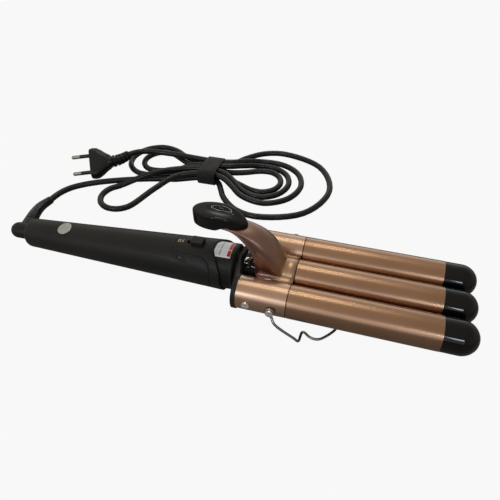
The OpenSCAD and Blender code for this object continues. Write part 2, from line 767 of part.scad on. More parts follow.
// Route of the strain relief, in the cord frame: out of the swivel's side and down to the table.
boot_route = [[-253.5, 3, -11.7], [-255, 9, -11.8], [-257, 15, -12.1], [-259.5, 22, -12.8], [-262, 29, -13.9],
    [-264.5, 36, -15.5], [-266.3, 43, -17.3], [-267.2, 50, -19.2], [-267.3, 56, -20.4]];
boot_r0 = 6.3;
boot_r1 = 3.7;
boot_ribs = 14;

function along(p, u) = let (n = len(p) - 1, i = min(floor(u * n), n - 1), t = u * n - i)
    blend4(p[max(i - 1, 0)], p[i], p[i + 1], p[min(i + 2, n)], t);

module strain_relief() {
    rings = 3 * boot_ribs + 6;
    p = [for (k = [0 : rings]) along(boot_route, k / rings)];
    r = [for (k = [0 : rings]) let (u = k / rings)
        boot_r0 + (boot_r1 - boot_r0) * u - (k > 5 && k < rings - 1 && k % 3 == 0 ? 0.7 : 0)];
    color(black) at_cord() tube(p, r, 12, [0, 0, 1]);
}

cord_r = cord_d / 2;
layer = 6.8;
strap_w = 20;
strap_t = 1.2;
strap_y = 40;
hank_top = strap_t + layer + cord_d;

// Height of a run's middle at distance x from the tie: the strap lifts the whole bundle.
function bundle_z(x) = cord_r + (strap_t + 0.1) * (1 - smooth((abs(x) - strap_w / 2) / 22));
// Free stretch from the strain relief to the tie, in the cord frame.
lead_route = [[-267.3, 56.35, -20.5], [-267.1, 62.5, -21], [-265, 71, -21], [-259.5, 80.5, -21], [-250, 89, -21],
    [-238, 96.5, -21], [-224, 103.2, -21], [-209, 109.3, -21], [-194, 114.6, -21], [-181, 118.4, -21],
    [-170, 121, -21], [-159, 123.4, bundle_z(34) - axis_h]];

module cord_lead() {
    color(gloss) at_cord() tube(lead_route, even(cord_r, lead_route), 10, [0, 0, 1]);
}

tie_at = [-125, 143];
column = 8;
arc_parts = 6;
run_parts = 3;

// Half loops of the hank in winding order. Side, centre and radius of the fold, columns and layers at
// which it leaves and re-enters the bundle, where its lift starts and stops fading on the way out, its
// lead-out, and where the lift fades on the way back.
folds = [
    [1, 69, 0, 57, -1.5, 1.5, 0, 0, 0, 1, 4, 0, 1],
    [-1, 69.5, 9, 28.5, 1.5, -0.5, 0, 0, 0, 1, 10, 0, 1],
    [1, 56, 0, 19, -0.5, 0.5, 0, 0, 0, 1, 10, 0, 1],
    [-1, 64, 9, 18.6, 0.5, 0.5, 0, 1, 16, 40, 10, 16, 40],
    [1, 56, 0, 27.6, 0.5, -0.5, 1, 1, 20, 54, 8, 20, 54],
    [-1, 76, -63, 20, -0.5, -1.5, 1, 1, 68, 88, 10, 36, 60],
    [1, 60, 0, 36.5, -1.5, 1.5, 1, 1, 22, 56, 4, 22, 56]];

function bezier(a, b, c, d, t) = pow(1 - t, 3) * a + 3 * pow(1 - t, 2) * t * b
    + 3 * (1 - t) * t * t * c + pow(t, 3) * d;
function smooth(t) = let (u = min(max(t, 0), 1)) u * u * (3 - 2 * u);

// Angle on the fold's circle at which a straight run from q meets it, s telling the side.
function meet(q, c, r, s) = let (v = c - q) atan2(v[1], v[0]) + s * (90 + asin(r / norm(v)));

// Points of one half loop: a run out, the fold, and a run back.
function fold_points(f, last) = let (
        c = [f[1], f[2]], r = f[3], a = [0, column * f[4]], b = [0, column * f[5]], s = f[4] >= f[5] ? 1 : -1,
        a0 = meet([f[10], a[1]], c, r, s), a1 = meet([f[10], b[1]], c, r, -s),
        sweep = s > 0 ? -((a0 - a1) % 360 + 360) % 360 : ((a1 - a0) % 360 + 360) % 360,
        t0 = c + r * [cos(a0), sin(a0)], t1 = c + r * [cos(a1), sin(a1)],
        h0 = norm(t0 - a) / 2, h1 = norm(t1 - b) / 2,
        d0 = unit(t0 - [f[10], a[1]]), d1 = unit(t1 - [f[10], b[1]]),
        plan = concat(
            [for (k = [0 : run_parts - 1]) bezier(a, a + [h0, 0], t0 - 0.8 * h0 * d0, t0, k / run_parts)],
            [for (k = [0 : arc_parts]) let (w = a0 + sweep * k / arc_parts) c + r * [cos(w), sin(w)]],
            [for (k = [run_parts - 1 : -1 : (last ? 0 : 1)])
                bezier(b, b + [h1, 0], t1 - 0.8 * h1 * d1, t1, k / run_parts)]))
    [for (i = [0 : len(plan) - 1]) let (p = plan[i], up = f[6] + (f[7] - f[6]) * min(max((i - 4) / 6, 0), 1))
        let (from = i < 6 ? f[8] : f[11], to = i < 6 ? f[9] : f[12])
            [f[0] * p[0], p[1], bundle_z(p[0]) + layer * up * (1 - smooth((p[0] - from) / (to - from)))]];

hank_in = [[-34, -19.6, bundle_z(34)], [-22, -15.4, bundle_z(22)], [-11, -12.4, bundle_z(11)]];
hank_out = [[-9, 12, bundle_z(9) + layer], [-20, 13.5, bundle_z(20) + layer], [-32, 15.2, cord_r + layer],
    [-40, 16, cord_r + layer]];
hank_points = concat(hank_in, [for (i = [0 : len(folds) - 1]) each fold_points(folds[i], i == len(folds) - 1)],
    hank_out);

// Least gap between stretches of the hank that lie more than a few diameters apart along it.
function lengths(p) = [for (i = 0, s = 0; i < len(p); s = i + 1 < len(p) ? s + norm(p[i + 1] - p[i]) : s, i = i + 1) s];
function fine(p, n) = [for (i = [0 : len(p) - 2], k = [0 : n - 1]) p[i] + (p[i + 1] - p[i]) * k / n];
function least_gap(p) = let (q = fine(p, 4), s = lengths(q))
    min([for (i = [0 : len(q) - 1], j = [i + 1 : 1 : len(q) - 1]) if (s[j] - s[i] > 5 * cord_d) norm(q[j] - q[i])]) - cord_d;

echo(hank_gap = least_gap(hank_points), hank_length = lengths(hank_points)[len(hank_points) - 1]);

module cord_hank() {
    color(gloss) translate([seam_x + cord_shift + tie_at[0], tie_at[1], 0])
        tube(hank_points, even(cord_r, hank_points), 6, [0, 0, 1]);
}

plug_at = [-235, 122.6, 12.95];
plug_turn = 27;
plug_roll = -35;
plug_depth = 20;
neck_len = 23;
neck_bend = 55;
neck_rings = 5;

// Bend angle and place of the plug's neck at the share u of its length, before the plug's turn.
function neck_angle(u) = neck_bend * u;
function neck_place(u) = -neck_len * 180 / PI / neck_bend * [sin(neck_angle(u)), 1 - cos(neck_angle(u)), 0];
function turned(p, a) = [p[0] * cos(a) - p[1] * sin(a), p[0] * sin(a) + p[1] * cos(a), p[2]];

// Free stretch from the tie to the plug, in the cord frame.
plug_route = [[-165, 159, -14.2], [-175, 159.2, -14.2], [-186, 158.8, -14], [-197, 157.4, -13.3],
    [-207, 154.4, -12.5], [-215, 149.8, -11.8], [-220, 144.2, -11.3],
    plug_at - [0, 0, axis_h] + turned(neck_place(0.96), 180 + plug_turn)];

module plug_lead() {
    color(gloss) at_cord() tube(plug_route, even(cord_r, plug_route), 10, [0, 0, 1]);
}

module cord_tie() {
    color([0.1, 0.1, 0.1]) translate([seam_x + cord_shift + tie_at[0] - strap_w / 2, tie_at[1] - strap_y / 2, 0]) difference() {
        cube([strap_w, strap_y, hank_top + strap_t + 0.2]);
        translate([-1, strap_t, strap_t]) cube([strap_w + 2, strap_y - 2 * strap_t, hank_top - strap_t + 0.2]);
    }
}

// Plug frame: origin at the rear of the plug's body, +X towards the pins, the pins apart along Y.
module at_plug(roll = plug_roll) {
    translate([seam_x + cord_shift + plug_at[0], plug_at[1], plug_at[2]]) rotate([0, 0, 180 + plug_turn])
        rotate([roll, 0, 0]) children();
}

module plug_body() {
    steps = 3 * neck_rings;
    neck = concat([[1.5, 0, 0]], [for (k = [0 : steps]) neck_place(k / steps)]);
    thick = concat([4.4], [for (k = [0 : steps]) k % 3 == 0 && k < steps ? 4.4 : 5.8 - 0.1 * k]);
    color(gloss) {
        at_plug(0) tube(neck, thick, 12, [0, 0, 1]);
        at_plug() intersection() {
            translate([0, 0, -plug_t / 2]) linear_extrude(height = plug_t)
                polygon([[-1, -6], [4, -7.5], [plug_depth - 4, -plug_w / 2], [plug_depth, -plug_w / 2 + 1],
                    [plug_depth, plug_w / 2 - 1], [plug_depth - 4, plug_w / 2], [4, 7.5], [-1, 6]]);
            translate([-3, 0, 0]) rotate([90, 0, 90]) linear_extrude(height = plug_depth + 4) union() {
                square([plug_w - plug_t, plug_t], center = true);
                for (s = [-1, 1]) translate([s * (plug_w - plug_t) / 2, 0]) circle(d = plug_t);
            }
        }
    }
}

module plug_pins() {
    color(steel) at_plug() for (s = [-1, 1]) translate([0, s * plug_pin_gap / 2, 0]) {
        bar_x(plug_pin_d / 2, plug_depth, plug_depth + plug_pin_len - 1);
        translate([plug_depth + plug_pin_len - 1, 0, 0]) rotate([0, 90, 0])
            cylinder(r1 = plug_pin_d / 2, r2 = plug_pin_d / 2 - 0.8, h = 1);
    }
}

// ---- nodes -------------------------------------------------------------------------------------

handle_upper_shell();
handle_lower_shell();
handle_screws();
front_trim();
switch_knob();
switch_body();
circuit_board();
indicator_lens();
badge_disc();
ribbed_collar();
blank_label();
yoke();
near_sleeve();
far_sleeve();
near_barrel();
far_barrel();
near_tip();
far_tip();
near_heater();
far_heater();
sleeve_screws();
hinge_pin();
torsion_spring();
lever_plate();
hinge_bracket();
middle_sleeve();
middle_holder();
middle_screws();
middle_barrel();
middle_tip();
middle_heater();
thumb_pad();
pad_rivet();
wire_stand();
swivel_body();
strain_relief();
cord_lead();
cord_hank();
plug_lead();
cord_tie();
plug_body();
plug_pins();
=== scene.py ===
import math

import bmesh
import bpy
from mathutils import Matrix, Vector


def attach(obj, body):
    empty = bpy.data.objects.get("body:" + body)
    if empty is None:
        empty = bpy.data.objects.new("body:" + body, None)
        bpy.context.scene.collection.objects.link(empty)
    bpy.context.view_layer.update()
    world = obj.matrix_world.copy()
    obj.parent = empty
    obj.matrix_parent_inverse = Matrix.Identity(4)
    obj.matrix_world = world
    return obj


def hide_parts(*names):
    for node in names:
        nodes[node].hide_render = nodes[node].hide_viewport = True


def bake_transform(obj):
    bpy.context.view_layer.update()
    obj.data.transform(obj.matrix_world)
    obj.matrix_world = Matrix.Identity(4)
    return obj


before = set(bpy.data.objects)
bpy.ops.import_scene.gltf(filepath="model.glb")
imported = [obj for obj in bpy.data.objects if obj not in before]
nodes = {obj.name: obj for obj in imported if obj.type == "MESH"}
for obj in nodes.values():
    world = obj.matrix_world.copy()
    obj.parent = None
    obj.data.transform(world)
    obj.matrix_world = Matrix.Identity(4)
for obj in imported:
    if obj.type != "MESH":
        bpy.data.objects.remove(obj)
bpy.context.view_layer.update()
scene = bpy.context.scene

# ---- places --------------------------------------------------------------------------------------

# Sizes and places of pieces are written in millimetres, and MM takes them to metres.
MM = 0.001

# Where sleeves and barrels meet, on the middle barrel's axis.
SEAM = Vector((68.19, 0, 24))

HANDLE_FRONT = Vector((11.19, 0, 20.183))
HANDLE_FRONT_RADIUS = 20.2
HANDLE_TAIL_RADIUS = 12.8
HANDLE_LENGTH = 183
TAPER = math.atan((HANDLE_FRONT_RADIUS - HANDLE_TAIL_RADIUS) / HANDLE_LENGTH)
HANDLE = Matrix.Translation(HANDLE_FRONT * MM) @ Matrix.Rotation(-TAPER, 4, "Y")
SWITCH_BEHIND_FRONT = 35

PLUG_PLACE = Vector((-166.81, 122.6, 12.95))
PLUG_TURN = Matrix.Rotation(math.radians(207), 4, "Z")
PLUG_ROLL = Matrix.Rotation(math.radians(-35), 4, "X")
PLUG = Matrix.Translation(PLUG_PLACE * MM) @ PLUG_TURN
PLUG_FACE = 20


def from_seam(points):
    """Places in metres of points that are measured from the seam."""
    return [(Vector(p) + SEAM) * MM for p in points]


# ---- materials -----------------------------------------------------------------------------------


def rgb(r, g, b):
    """A colour read as 0 to 255 on screen, as linear light."""
    return tuple((c / 255 / 12.92) if c < 10.3 else ((c / 255 + 0.055) / 1.055) ** 2.4 for c in (r, g, b))


def colour_ramp(tree, value, stops, interpolation="LINEAR"):
    """The colour that a value from 0 to 1 has between the stops, each a place and a colour."""
    node = tree.nodes.new("ShaderNodeValToRGB")
    node.color_ramp.interpolation = interpolation
    elements = node.color_ramp.elements
    for element, (place, tone) in zip(elements, (stops[0], stops[-1])):
        element.position = place
        element.color = (*tone, 1)
    for place, tone in stops[1:-1]:
        elements.new(place).color = (*tone, 1)
    tree.links.new(value, node.inputs["Fac"])
    return node.outputs["Color"]


def shader_group(name, inputs, outputs):
    """A new node group with its sockets, and its input and output nodes."""
    group = bpy.data.node_groups.new(name, "ShaderNodeTree")
    for label, kind, value in inputs:
        socket = group.interface.new_socket(name=label, in_out="INPUT", socket_type=kind)
        if value is not None:
            socket.default_value = value
    for label, kind in outputs:
        group.interface.new_socket(name=label, in_out="OUTPUT", socket_type=kind)
    return group, group.nodes.new("NodeGroupInput"), group.nodes.new("NodeGroupOutput")


def make_grain_group():
    """Fine moulded or sprayed grain: a height for Bump and a slow tone for the colour."""
    group, given, result = shader_group(
        "moulded_grain",
        [("Vector", "NodeSocketVector", None), ("Scale", "NodeSocketFloat", 900.0)],
        [("Height", "NodeSocketFloat"), ("Tone", "NodeSocketFloat")],
    )
    link = group.links.new
    fine = group.nodes.new("ShaderNodeTexNoise")
    fine.inputs["Detail"].default_value = 2.0
    slow = group.nodes.new("ShaderNodeTexNoise")
    slow.inputs["Scale"].default_value = 22.0
    slow.inputs["Detail"].default_value = 3.0
    link(given.outputs["Vector"], fine.inputs["Vector"])
    link(given.outputs["Scale"], fine.inputs["Scale"])
    link(given.outputs["Vector"], slow.inputs["Vector"])
    link(fine.outputs["Fac"], result.inputs["Height"])
    link(slow.outputs["Fac"], result.inputs["Tone"])
    return group


def make_handling_group():
    """Finger marks and fine scuffs: a roughness that wanders between two values."""
    group, given, result = shader_group(
        "handling_marks",
        [
            ("Vector", "NodeSocketVector", None),
            ("Scale", "NodeSocketFloat", 40.0),
            ("Low", "NodeSocketFloat", 0.3),
            ("High", "NodeSocketFloat", 0.45),
        ],
        [("Roughness", "NodeSocketFloat")],
    )
    link = group.links.new
    smear = group.nodes.new("ShaderNodeTexNoise")
    smear.inputs["Detail"].default_value = 4.0
    smear.inputs["Distortion"].default_value = 0.6
    spread = group.nodes.new("ShaderNodeMapRange")
    spread.inputs["From Min"].default_value = 0.35
    spread.inputs["From Max"].default_value = 0.68
    link(given.outputs["Vector"], smear.inputs["Vector"])
    link(given.outputs["Scale"], smear.inputs["Scale"])
    link(smear.outputs["Fac"], spread.inputs["Value"])
    link(given.outputs["Low"], spread.inputs["To Min"])
    link(given.outputs["High"], spread.inputs["To Max"])
    link(spread.outputs["Result"], result.inputs["Roughness"])
    return group


GRAIN = make_grain_group()
HANDLING = make_handling_group()


class Finish:
    """One material: a Principled shader on Object coordinates, with the shared groups placed in it."""

    def __init__(self, name, **settings):
        self.material = bpy.data.materials.new(name)
        self.material.use_nodes = True
        self.tree = self.material.node_tree
        self.shader = self.tree.nodes["Principled BSDF"]
        self.coords = self.tree.nodes.new("ShaderNodeTexCoord").outputs["Object"]
        self.colour = None
        for socket, value in settings.items():
            self.shader.inputs[socket.replace("_", " ")].default_value = value

    def join(self, source, target):
        self.tree.links.new(source, target)

    def add(self, kind, **values):
        node = self.tree.nodes.new(kind)
        for socket, value in values.items():
            node.inputs[socket.replace("_", " ")].default_value = value
        return node

    def place(self, group, **values):
        node = self.tree.nodes.new("ShaderNodeGroup")
        node.node_tree = group
        self.join(self.coords, node.inputs["Vector"])
        for socket, value in values.items():
            node.inputs[socket].default_value = value
        return node

    def bump(self, height, strength, depth):
        node = self.add("ShaderNodeBump", Strength=strength, Distance=depth)
        self.join(height, node.inputs["Height"])
        self.join(node.outputs["Normal"], self.shader.inputs["Normal"])

    def tones(self, mask, stops, interpolation="LINEAR"):
        """The base colour, taken from the stops by the mask."""
        self.colour = colour_ramp(self.tree, mask, stops, interpolation)
        self.join(self.colour, self.shader.inputs["Base Color"])

    def over(self, mask, tone):
        """A second colour laid over the first where the mask is 1."""
        mix = self.tree.nodes.new("ShaderNodeMix")
        mix.data_type = "RGBA"
        mix.inputs["B"].default_value = (*tone, 1)
        self.join(mask, mix.inputs["Factor"])
        self.join(self.colour, mix.inputs["A"])
        self.join(mix.outputs["Result"], self.shader.inputs["Base Color"])

    def across(self, direction, low, high):
        """A mask that runs from 0 to 1 between two places along a direction."""
        along = self.tree.nodes.new("ShaderNodeVectorMath")
        along.operation = "DOT_PRODUCT"
        along.inputs[1].default_value = direction
        self.join(self.coords, along.inputs[0])
        mask = self.tree.nodes.new("ShaderNodeMapRange")
        mask.inputs["From Min"].default_value = low * MM
        mask.inputs["From Max"].default_value = high * MM
        self.join(along.outputs["Value"], mask.inputs["Value"])
        return mask.outputs["Result"]

    def grain(self, scale, strength, depth, tones):
        """Bump from the grain, and a base colour that drifts between two tones."""
        grain = self.place(GRAIN, Scale=scale)
        self.bump(grain.outputs["Height"], strength, depth)
        self.tones(grain.outputs["Tone"], list(zip((0.35, 0.65), (rgb(*tone) for tone in tones))))

    def handled(self, scale, low, high):
        marks = self.place(HANDLING, Scale=scale, Low=low, High=high)
        self.join(marks.outputs["Roughness"], self.shader.inputs["Roughness"])


COATED_METAL = {"Metallic": 1.0, "Coat_Weight": 0.2, "Coat_Roughness": 0.2}
BARREL_COAT = {"Metallic": 1.0, "Coat_Weight": 0.25, "Coat_Roughness": 0.2}

# How far the pins' sleeves reach from the plug's face, and how soft their ends are.
PIN_SLEEVE = 10.33
PIN_SLEEVE_END = 0.3

# Where the lever's painted shade on the arm gives way to painted light on the half sleeve, measured from
# the seam.
LEVER_PAINTED_LIGHT_CHANGE = (-19, -11)

# The label's back and front edges, measured from the handle's front, and half its width.
LABEL_BACK = -7.5
LABEL_FRONT = 6.5
LABEL_HALF_WIDTH = 9.0

# Each band starts at its place, from the label's back (0) to its front (1). A pale line starts at each
# place with a 1 and stops at the next one, from the near edge (0) to the far edge (1).
LABEL_BANDS = [(0.0, (208, 212, 218)), (0.28, (146, 152, 162)), (0.34, (216, 219, 223)),
               (0.62, (224, 226, 229)), (0.74, (184, 44, 38)), (0.93, (226, 226, 226))]
LABEL_LINES = [(0.0, 1), (0.07, 0), (0.37, 1), (0.41, 0), (0.95, 1)]


def grained(name, tones, grain, marks, **settings):
    """A material with two close tones, a grain and marks of handling.

    The grain is its scale, its strength and its depth in metres. The marks are their scale and the
    two roughnesses that they wander between.
    """
    finish = Finish(name, **settings)
    finish.grain(*grain, tones)
    finish.handled(*marks)
    return finish.material


def bright_metal(name, tone, low, high):
    tones = (tone, tuple(c + 10 for c in tone))
    return grained(name, tones, (1200.0, 0.05, 0.0001), (90.0, low, high), Metallic=1.0)


def plain_material(name, tones, low, high, scale=900.0, strength=0.1):
    return grained(name, tones, (scale, strength, 0.0002), (40.0, low, high))


def lever_bronze_with_painted_light():
    """Rose bronze in one metal. The arm is painted darker as painted shade, and the half sleeve that
    continues the row of sleeves is painted lighter as painted light.
    """
    finish = Finish("lever_bronze_painted_light", **COATED_METAL)
    finish.grain(2400.0, 0.008, 0.0001, ((136, 106, 95), (144, 113, 101)))
    # painted shade and light: along x, the arm's darker tone gives way to the half sleeve's lighter one
    painted_light_mask = finish.across((1, 0, 0), *(SEAM.x + x for x in LEVER_PAINTED_LIGHT_CHANGE))
    finish.over(painted_light_mask, rgb(184, 150, 122))
    finish.handled(35.0, 0.33, 0.4)
    return finish.material


def strap_weave():
    """Woven loop tape: crossing ribs for the bump, with painted shade between the threads, where the base
    colour is darker.
    """
    finish = Finish("strap_weave", Specular_IOR_Level=0.2, Sheen_Weight=0.2, Sheen_Roughness=0.5)
    weave_with_painted_shade = finish.tree.nodes.new("ShaderNodeMath")
    weave_with_painted_shade.operation = "MAXIMUM"
    for axis, share in zip("XY", weave_with_painted_shade.inputs):
        wave = finish.add("ShaderNodeTexWave", Scale=260.0, Distortion=1.5, Detail=2.0)
        wave.bands_direction = axis
        finish.join(finish.coords, wave.inputs["Vector"])
        finish.join(wave.outputs["Fac"], share)
    # painted shade: the base colour follows the weave's height and is darker in the hollows between the
    # threads
    finish.tones(weave_with_painted_shade.outputs[0], ((0.3, rgb(14, 14, 15)), (0.9, rgb(34, 34, 36))))
    finish.bump(weave_with_painted_shade.outputs[0], 0.5, 0.0003)
    finish.handled(80.0, 0.7, 0.9)
    return finish.material


def label_film():
    """Pale film with a plain red band at its front and thin pale lines that cross the bands."""
    finish = Finish("label_film", Specular_IOR_Level=0.5)
    along = finish.across((1, 0, 0), HANDLE_FRONT.x + LABEL_BACK, HANDLE_FRONT.x + LABEL_FRONT)
    finish.tones(along, [(place, rgb(*tone)) for place, tone in LABEL_BANDS], "CONSTANT")
    aside = finish.across((0, 1, 0), -LABEL_HALF_WIDTH, LABEL_HALF_WIDTH)
    lines = [(place, (share, share, share)) for place, share in LABEL_LINES]
    finish.over(colour_ramp(finish.tree, aside, lines, "CONSTANT"), rgb(232, 232, 231))
    finish.bump(finish.place(GRAIN, Scale=700.0).outputs["Height"], 0.05, 0.0001)
    finish.handled(50.0, 0.28, 0.4)
    return finish.material


def sleeved_pins():
    """Steel pins with a black insulating sleeve over the half next to the plug."""
    finish = Finish("sleeved_pins", Roughness=0.3)
    finish.grain(1200.0, 0.05, 0.0001, ((26, 26, 26), (32, 32, 32)))
    way = PLUG_TURN.to_3x3() @ Vector((1, 0, 0))
    sleeve_end = PLUG_PLACE.dot(way) + PLUG_FACE + PIN_SLEEVE
    bare = finish.across(way, sleeve_end, sleeve_end + PIN_SLEEVE_END)
    finish.over(bare, rgb(176, 172, 164))
    finish.join(bare, finish.shader.inputs["Metallic"])
    return finish.material


BLACK = grained("satin_black_plastic", ((31, 30, 29), (37, 36, 34)),
                (1500.0, 0.16, 0.0002), (30.0, 0.38, 0.48), Specular_IOR_Level=0.2)
GLOSS = grained("gloss_black_plastic", ((9, 9, 9), (12, 12, 12)),
                (300.0, 0.02, 0.0001), (60.0, 0.035, 0.07), Specular_IOR_Level=0.3)
RUBBER = grained("cord_rubber", ((18, 18, 19), (24, 24, 25)),
                 (2200.0, 0.08, 0.0002), (50.0, 0.24, 0.32), Specular_IOR_Level=0.36)
SLEEVE = grained("sleeve_rose_gold", ((186, 151, 126), (194, 159, 134)),
                 (2600.0, 0.005, 0.0001), (35.0, 0.3, 0.33), **COATED_METAL)
BARREL = grained("barrel_gold_coating", ((160, 124, 98), (168, 131, 104)),
                 (1800.0, 0.004, 0.0001), (30.0, 0.265, 0.295), **BARREL_COAT)
BRONZE_PAINTED_LIGHT = lever_bronze_with_painted_light()
CHROME = bright_metal("polished_steel", (232, 231, 226), 0.16, 0.24)
WIRE = bright_metal("stand_wire_steel", (140, 140, 138), 0.22, 0.34)
SILVER = bright_metal("badge_silver", (176, 178, 180), 0.2, 0.3)
ALUMINIUM = bright_metal("cast_aluminium", (170, 170, 168), 0.35, 0.5)
DARK = plain_material("inner_dark_plastic", ((40, 40, 42), (48, 48, 50)), 0.4, 0.55)
BOARD = plain_material("board_green", ((30, 78, 48), (38, 92, 56)), 0.35, 0.5)
LENS = plain_material("lamp_lens", ((9, 6, 6), (12, 7, 7)), 0.4, 0.5, 200.0, 0.02)
MARK = plain_material("printed_mark", ((206, 172, 140), (212, 180, 148)), 0.5, 0.6)
STRAP = strap_weave()
LABEL = label_film()
PINS = sleeved_pins()

PAINT = {
    BLACK: ["handle_upper_shell", "handle_lower_shell", "front_trim", "switch_knob", "ribbed_collar",
            "yoke", "middle_holder", "swivel_body"],
    DARK: ["switch_body"],
    BOARD: ["circuit_board"],
    GLOSS: ["near_tip", "far_tip", "middle_tip", "thumb_pad"],
    RUBBER: ["strain_relief", "plug_body"],
    SLEEVE: ["near_sleeve", "far_sleeve", "middle_sleeve"],
    BARREL: ["near_barrel", "far_barrel", "middle_barrel"],
    BRONZE_PAINTED_LIGHT: ["lever_plate"],
    CHROME: ["handle_screws", "sleeve_screws", "hinge_pin", "torsion_spring", "hinge_bracket",
             "middle_screws", "pad_rivet"],
    PINS: ["plug_pins"],
    WIRE: ["wire_stand"],
    SILVER: ["badge_disc"],
    ALUMINIUM: ["near_heater", "far_heater", "middle_heater"],
    LENS: ["indicator_lens"],
    LABEL: ["blank_label"],
    STRAP: ["cord_tie"],
}
for material, names in PAINT.items():
    for name in names:
        nodes[name].data.materials.clear()
        nodes[name].data.materials.append(material)

# ---- camera --------------------------------------------------------------------------------------

# The eye's place in metres, and the rotation vector that takes the part's axes to the view's axes:
# x to the right, y down, z ahead.
EYE = Vector((0.1128146, -0.2450009, 0.2817447))
TURN = Vector((2.30346156, 0.331351899, -0.182399939))
FOCAL_PIXELS = 465.225
FRAME_PIXELS = 500.0
SENSOR_WIDTH = 36.0


def add_camera():
    to_view = Matrix.Rotation(TURN.length, 3, TURN.normalized())
    right, down, ahead = (Vector(row) for row in to_view)
    data = bpy.data.cameras.new("camera")
    data.sensor_width = SENSOR_WIDTH
    data.lens = FOCAL_PIXELS / FRAME_PIXELS * SENSOR_WIDTH
    data.clip_start = 0.01
    camera = bpy.data.objects.new("camera", data)
    scene.collection.objects.link(camera)
    axes = Matrix((right, -down, -ahead)).transposed().to_4x4()
    camera.matrix_world = Matrix.Translation(EYE) @ axes
    scene.camera = camera


add_camera()

# ---- pieces made here ----------------------------------------------------------------------------


def mesh_of(bm, name):
    mesh = bpy.data.meshes.new(name)
    bm.to_mesh(mesh)
    bm.free()
    return mesh


def add_piece(mesh, smooth_angle=40):
    piece = bpy.data.objects.new(mesh.name, mesh)
    scene.collection.objects.link(piece)
    mesh.polygons.foreach_set("use_smooth", [True] * len(mesh.polygons))
    mesh.set_sharp_from_angle(angle=math.radians(smooth_angle))
    return piece


def paint(piece, material):
    piece.data.materials.clear()
    piece.data.materials.append(material)
    return piece


def round_edges(piece, width, segments=2, angle=32, harden=True):
    """A bevel on the edges that are sharper than the angle, in degrees."""
    edges = piece.modifiers.new("rounded_edges", "BEVEL")
    edges.width = width * MM
    edges.segments = segments
    edges.angle_limit = math.radians(angle)
    edges.harden_normals = harden


def new_verts(geometry):
    return [g for g in geometry if isinstance(g, bmesh.types.BMVert)]


def catmull(points, steps):
    """A smooth line through the points, whose bends don't depend on how far apart they are."""
    line = []
    points = [2 * points[0] - points[1], *points, 2 * points[-1] - points[-2]]
    for a, b, c, d in zip(points, points[1:], points[2:], points[3:]):
        before, here, after = ((q - p).length ** 0.5 for p, q in ((a, b), (b, c), (c, d)))
        leave = (b - a) / before - (c - a) / (before + here) + (c - b) / here
        reach = (c - b) / here - (d - b) / (here + after) + (d - c) / after
        leave, reach = leave * here, reach * here
        for k in range(steps):
            t = k / steps
            line.append(b + leave * t + (3 * (c - b) - 2 * leave - reach) * t * t
                        + (2 * (b - c) + leave + reach) * t ** 3)
    return line + [points[-2]]


def sweep(name, line, radii, resolution):
    """A round tube along a line, with one radius or one for each point, and closed ends."""
    curve = bpy.data.curves.new(name, "CURVE")
    curve.dimensions = "3D"
    curve.bevel_depth = 1.0
    curve.bevel_resolution = resolution
    curve.use_fill_caps = True
    curve.twist_mode = "MINIMUM"
    spline = curve.splines.new("POLY")
    spline.points.add(len(line) - 1)
    for i, p in enumerate(line):
        spline.points[i].co = (*p, 1)
        spline.points[i].radius = radii[i] if isinstance(radii, list) else radii
    holder = bpy.data.objects.new(name + "_line", curve)
    scene.collection.objects.link(holder)
    bpy.context.view_layer.update()
    mesh = bpy.data.meshes.new_from_object(holder.evaluated_get(bpy.context.evaluated_depsgraph_get()))
    bpy.data.objects.remove(holder)
    bpy.data.curves.remove(curve)
    mesh.name = name
    return add_piece(mesh)


def in_groove(u, start, end, count, share):
    """Whether a place from 0 to 1 along a sleeve is in one of its evenly spaced grooves."""
    return start < u <= end and (u - start) * count / (end - start) % 1 < share


# ---- cord ----------------------------------------------------------------------------------------

CORD_DIAMETER = 6 * MM

# From the strain relief to the bundle, and from the bundle to the plug, measured from the seam.
LEAD = [
    (-267.3, 56.35, -20.5), (-267.1, 62.5, -21), (-265, 71, -21), (-259.5, 80.5, -21), (-250, 89, -21),
    (-238, 96.5, -21), (-224, 103.2, -21), (-209, 109.3, -21), (-194, 114.6, -21), (-181, 118.4, -21),
    (-170, 121, -21),
]
TO_PLUG = [
    (-165, 159, -14.2), (-175, 159.2, -14.2), (-186, 158.8, -14), (-197, 157.4, -13.3),
    (-207, 154.4, -12.5), (-215, 149.8, -11.8), (-220, 144.2, -11.3), (-222.296, 139.706, -11.05),
]

